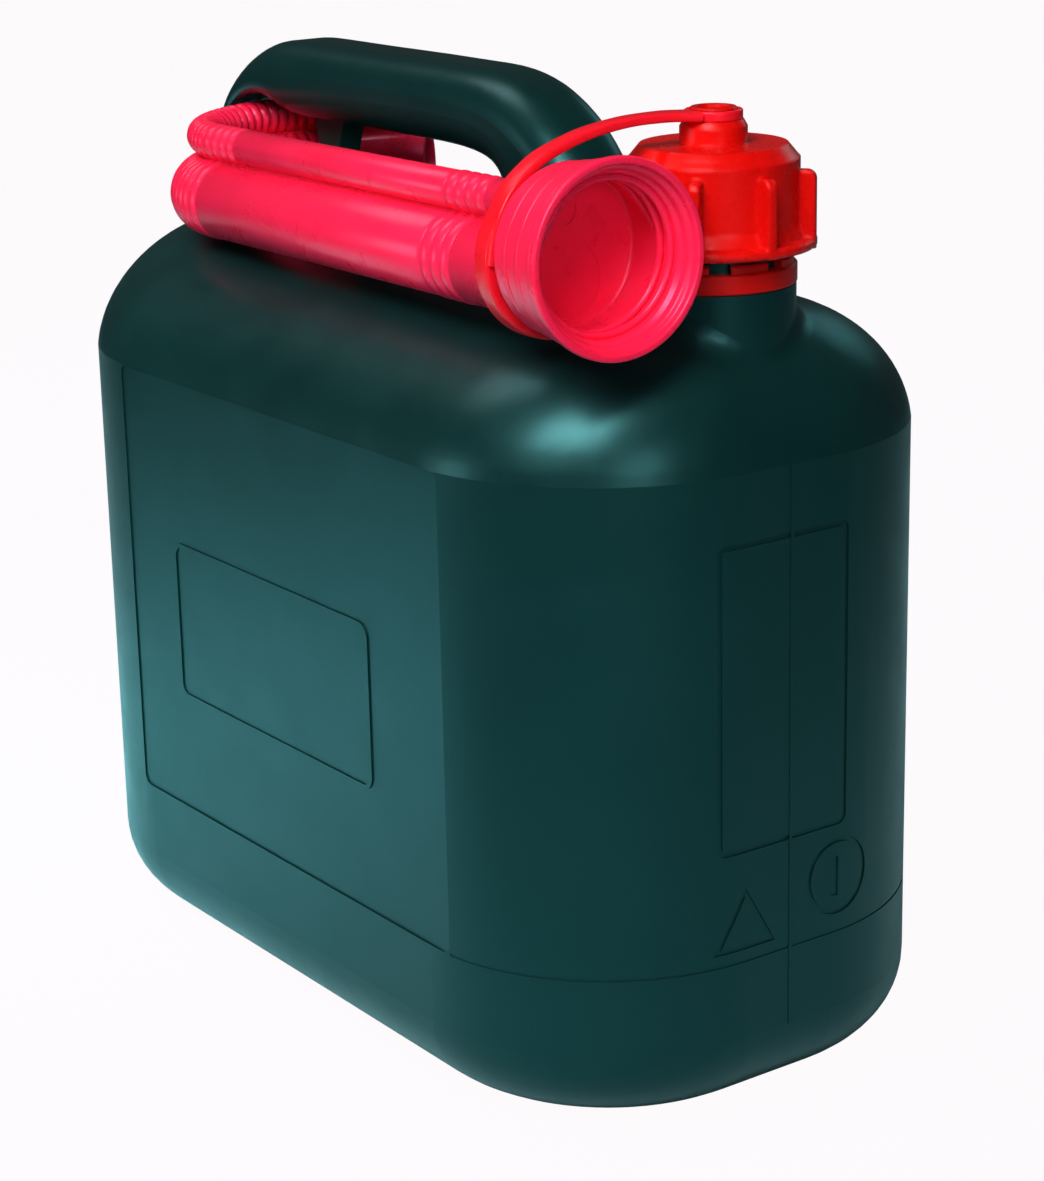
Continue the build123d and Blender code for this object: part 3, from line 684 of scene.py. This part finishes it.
def pushed_bar(name, length, width, thick, edge, pushes):
    """Bar along X with rounded long edges, pushed in even steps."""
    start_clean()
    bpy.ops.mesh.primitive_plane_add(size=1, rotation=(0, math.pi / 2, 0))
    bar = bpy.context.object
    bar.name = name
    bar.scale = (thick, width, 1)
    bpy.ops.object.transform_apply(location=True, rotation=True, scale=True)
    bpy.ops.object.mode_set(mode="EDIT")
    bpy.ops.mesh.select_all(action="SELECT")
    bpy.ops.mesh.bevel(offset=edge, segments=EDGE_SEGMENTS, affect="VERTICES")
    for _ in range(pushes):
        bpy.ops.mesh.extrude_region_move(TRANSFORM_OT_translate={"value": (length / pushes, 0, 0)})
    bpy.ops.mesh.select_all(action="SELECT")
    bpy.ops.mesh.fill_holes(sides=0)
    bpy.ops.mesh.select_all(action="SELECT")
    bpy.ops.mesh.normals_make_consistent(inside=False)
    bpy.ops.object.mode_set(mode="OBJECT")
    return bar


band_path = route_curve("band_path", route)
band_length = band_path.data.splines[0].calc_length()
band_width, band_thick, band_edge = (BAND[key] * MM for key in ("width", "thick", "edge"))
band = pushed_bar("band", band_length, band_width, band_thick, band_edge, BAND["pushes"])
for v in band.data.vertices:
    near = max(0.0, 1 - v.co.x / (FLARE_REACH * MM))
    v.co.y *= 1 + FLARE * near ** FLARE_FADE
laid_along(band, band_path)
print("band length:", round(band_length, 4), "size", [round(v, 4) for v in band.dimensions])

# %% [markdown]
# ## The strap as one piece
# When the cap is unscrewed it climbs, and the strap's eye climbs with it. The
# hoop stays on the tubes, and the band between them bends. Here eye, hoop and
# band are joined into one piece.

# %% Join the strap
strap_piece = joined("cap_tether", [eye, hoop, band], Matrix.Identity(4))
strap_piece.data.materials.append(strap_mat)
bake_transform(strap_piece)
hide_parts("cap_strap")
print("strap faces:", len(strap_piece.data.polygons))

# %% [markdown]
# ## Studio
# The photograph was cut out on white. Floor and world give the camera the same
# white field through the Light Path node, and a small share of the floor's own
# shading keeps a faint shadow under the can. The can itself mirrors a muted
# teal floor and a dim world, because dark plastic only looks dark and deep
# where it has something dark to mirror.

# %% Floor
FLOOR_SIZE, FLOOR_DROP = 6, 0.5
FLOOR_COLOUR, FLOOR_SHADE, FLOOR_ROUGH = (0.36, 0.66, 0.70), 0.985, 0.9
FLOOR_WHITE, WHITE_SHARE = (1.0, 0.97, 0.99, 1), 0.98


def pale(name, colour, share):
    """Mottled floor that the camera sees as white, up to the share given."""
    m, t, shader = new_material(name)
    shader.inputs["Roughness"].default_value = FLOOR_ROUGH
    mottle = node(t, "ShaderNodeTexNoise", -700, 0, Scale=3, Detail=3)
    shaded = tuple(v * FLOOR_SHADE for v in colour)
    tone = ramp(t, -450, 0, [(NOISE_LOW, (*shaded, 1)), (NOISE_HIGH, (*colour, 1))])
    place = node(t, "ShaderNodeTexCoord", -900, 0)
    t.links.new(place.outputs["Object"], mottle.inputs["Vector"])
    t.links.new(mottle.outputs["Fac"], tone.inputs["Fac"])
    t.links.new(tone.outputs["Color"], shader.inputs["Base Color"])
    path = node(t, "ShaderNodeLightPath", -400, 300)
    part = node(t, "ShaderNodeMath", -150, 300)
    part.operation = "MULTIPLY"
    part.inputs[1].default_value = share
    white = node(t, "ShaderNodeEmission", 0, -300, Color=FLOOR_WHITE, Strength=1.0)
    mix = node(t, "ShaderNodeMixShader", 250, 0)
    t.links.new(path.outputs["Is Camera Ray"], part.inputs[0])
    t.links.new(part.outputs[0], mix.inputs[0])
    t.links.new(shader.outputs[0], mix.inputs[1])
    t.links.new(white.outputs[0], mix.inputs[2])
    t.links.new(mix.outputs[0], t.nodes["Material Output"].inputs["Surface"])
    return m


start_clean()
bpy.ops.mesh.primitive_plane_add(size=FLOOR_SIZE, location=(0, 0, -FLOOR_DROP * MM))
floor = bpy.context.object
floor.name = "floor"
floor.data.materials.append(pale("floor_pale", FLOOR_COLOUR, WHITE_SHARE))
floor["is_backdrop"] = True
print("floor:", floor.name, FLOOR_SIZE, "m")

# %% Surroundings
WORLD_LIGHT, WORLD_COLOUR = 0.045, (0.95, 0.97, 1.0, 1)
WORLD_WHITE = (1.0, 0.965, 0.99, 1)
world = bpy.data.worlds.new("world")
bpy.context.scene.world = world
world.use_nodes = True
wt = world.node_tree
field = wt.nodes["Background"]
field.inputs["Color"].default_value = WORLD_COLOUR
field.inputs["Strength"].default_value = WORLD_LIGHT
white = node(wt, "ShaderNodeBackground", 0, -200, Color=WORLD_WHITE, Strength=1.0)
sight = node(wt, "ShaderNodeLightPath", -300, 300)
choose = node(wt, "ShaderNodeMixShader", 300, 0)
wt.links.new(sight.outputs["Is Camera Ray"], choose.inputs[0])
wt.links.new(field.outputs[0], choose.inputs[1])
wt.links.new(white.outputs[0], choose.inputs[2])
wt.links.new(choose.outputs[0], wt.nodes["World Output"].inputs["Surface"])
print("world light:", WORLD_LIGHT)

# %% [markdown]
# ## Lamps
# Each lamp is placed for one thing that the photograph shows. The key gives the
# bright patch on the near corner of the shoulder. Left lights the long side,
# and pool the floor that this side mirrors. Rear lights the floor behind the
# can, back and top draw the handle and the cap, and front lights cap and cup.
# A narrow spread keeps a lamp's light on the spot it is aimed at.

# %% Hang the lamps
WHITE = (1.0, 1.0, 1.0)
LAMPS = {
    "key": {
        "at": (0.43, -0.62, 0.83), "aim": (0.10, -0.04, 0.17), "size": (0.56, 0.42),
        "power": 2.5, "spread": 80, "tint": WHITE,
    },
    "left": {
        "at": (-0.45, -1.00, 0.24), "aim": (-0.02, -0.03, 0.12), "size": (0.40, 0.30),
        "power": 0.6, "spread": 110, "tint": (0.80, 0.98, 1.0),
    },
    "pool": {
        "at": (-0.45, -0.75, 0.85), "aim": (-0.22, -0.16, 0.00), "size": (0.20, 0.20),
        "power": 0.6, "spread": 28, "tint": (0.40, 0.95, 1.0),
    },
    "rear": {
        "at": (-0.60, 0.35, 0.80), "aim": (-0.60, 0.30, 0.00), "size": (0.40, 0.40),
        "power": 1.3, "spread": 80, "tint": WHITE,
    },
    "back": {
        "at": (-0.30, 1.10, 0.66), "aim": (0.05, 0.10, 0.18), "size": (0.60, 0.40),
        "power": 0.22, "spread": 100, "tint": (0.30, 0.90, 0.95),
    },
    "top": {
        "at": (-0.55, -0.30, 1.10), "aim": (-0.05, 0.00, 0.22), "size": (0.50, 0.50),
        "power": 0.30, "spread": 60, "tint": WHITE,
    },
    "front": {
        "at": (1.00, -0.35, 0.42), "aim": (0.10, -0.03, 0.23), "size": (0.40, 0.40),
        "power": 0.10, "spread": 24, "tint": WHITE,
    },
}
for name, lamp in LAMPS.items():
    data = bpy.data.lights.new(name, "AREA")
    data.shape = "RECTANGLE"
    data.size, data.size_y = lamp["size"]
    data.energy = lamp["power"]
    data.spread = math.radians(lamp["spread"])
    data.color = lamp["tint"]
    hung = bpy.data.objects.new(name, data)
    bpy.context.scene.collection.objects.link(hung)
    hung.location = lamp["at"]
    aimed = Vector(lamp["aim"]) - Vector(lamp["at"])
    hung.rotation_euler = aimed.to_track_quat("-Z", "Y").to_euler()
print("lamps:", len(LAMPS))

# %% [markdown]
# ## Last measures
# The finer spout and strap must not make the can larger than the imported model,
# so both boxes are written side by side.

# %% Finish
bpy.context.scene.view_settings.view_transform = "Standard"
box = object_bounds()
for title, corners in (("packed", cad_box), ("dressed", box)):
    print(title, "size:", [round(v, 4) for v in (*corners[0], *corners[1])])
